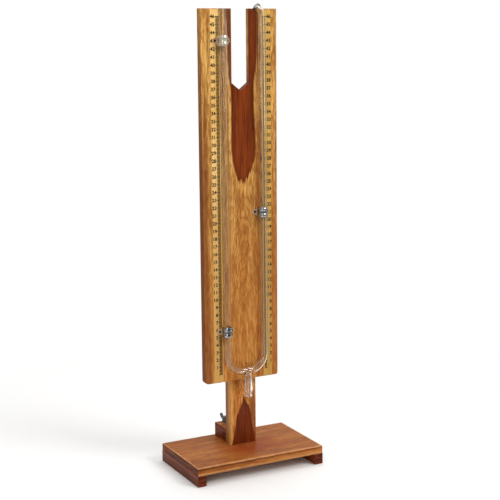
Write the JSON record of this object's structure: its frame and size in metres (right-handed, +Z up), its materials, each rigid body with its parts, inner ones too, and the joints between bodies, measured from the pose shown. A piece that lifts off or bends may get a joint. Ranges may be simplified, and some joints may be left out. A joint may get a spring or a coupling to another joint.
{
  "type": "hare apparatus",
  "caption": "Wooden stand with a slotted upright board that carries a glass U-tube with a lower outlet between two graduated scales, for comparing liquid columns.",
  "frame": {"origin": "middle of the footprint, on the surface that the feet stand on", "axes": "+X to the viewer's right along the base, +Y from the scale side to the back, +Z up"},
  "size_m": [0.1842, 0.1128, 0.6044],
  "materials": {
    "stand_wood": "red-brown varnished hardwood with darker heartwood",
    "board_wood": "orange-brown varnished hardwood with a dark heartwood figure",
    "scale_print": "varnished paper strip with dark millimetre marks and numerals",
    "tube_glass": "clear blown glass",
    "clip_metal": "bright plated spring steel",
    "screw_steel": "plain steel, slightly dull",
    "bolt_steel": "zinc-plated steel",
    "nut_metal": "plated wing nut"
  },
  "bodies": {
    "stand": {"base_board": "stand_wood", "left_foot": "stand_wood", "right_foot": "stand_wood", "post": "stand_wood", "post_block": "stand_wood", "scale_board": "board_wood", "left_scale": "scale_print", "right_scale": "scale_print", "u_tube": "tube_glass", "tube_clip_upper_left": "clip_metal", "tube_clip_lower_left": "clip_metal", "tube_clip_right": "clip_metal", "clip_screw_upper_left_outer": "screw_steel", "clip_screw_upper_left_inner": "screw_steel", "clip_screw_lower_left_outer": "screw_steel", "clip_screw_lower_left_inner": "screw_steel", "clip_screw_right_outer": "screw_steel", "clip_screw_right_inner": "screw_steel", "foot_screw_1": "screw_steel", "foot_screw_2": "screw_steel", "foot_screw_3": "screw_steel", "foot_screw_4": "screw_steel", "post_screw_1": "screw_steel", "post_screw_2": "screw_steel", "post_screw_3": "screw_steel", "block_screw_1": "screw_steel", "block_screw_2": "screw_steel", "clamp_bolt": "bolt_steel", "lower_washer": "bolt_steel", "upper_washer": "bolt_steel"},
    "nut": {"wing_nut": "nut_metal"}
  },
  "joints": [
    {"name": "nut_spin", "type": "hinge", "parent": "stand", "child": "nut", "pos_m": [-0.00295, 0.04436, 0.0445], "axis": [0, 0, 1], "continuous": true}
  ]
}
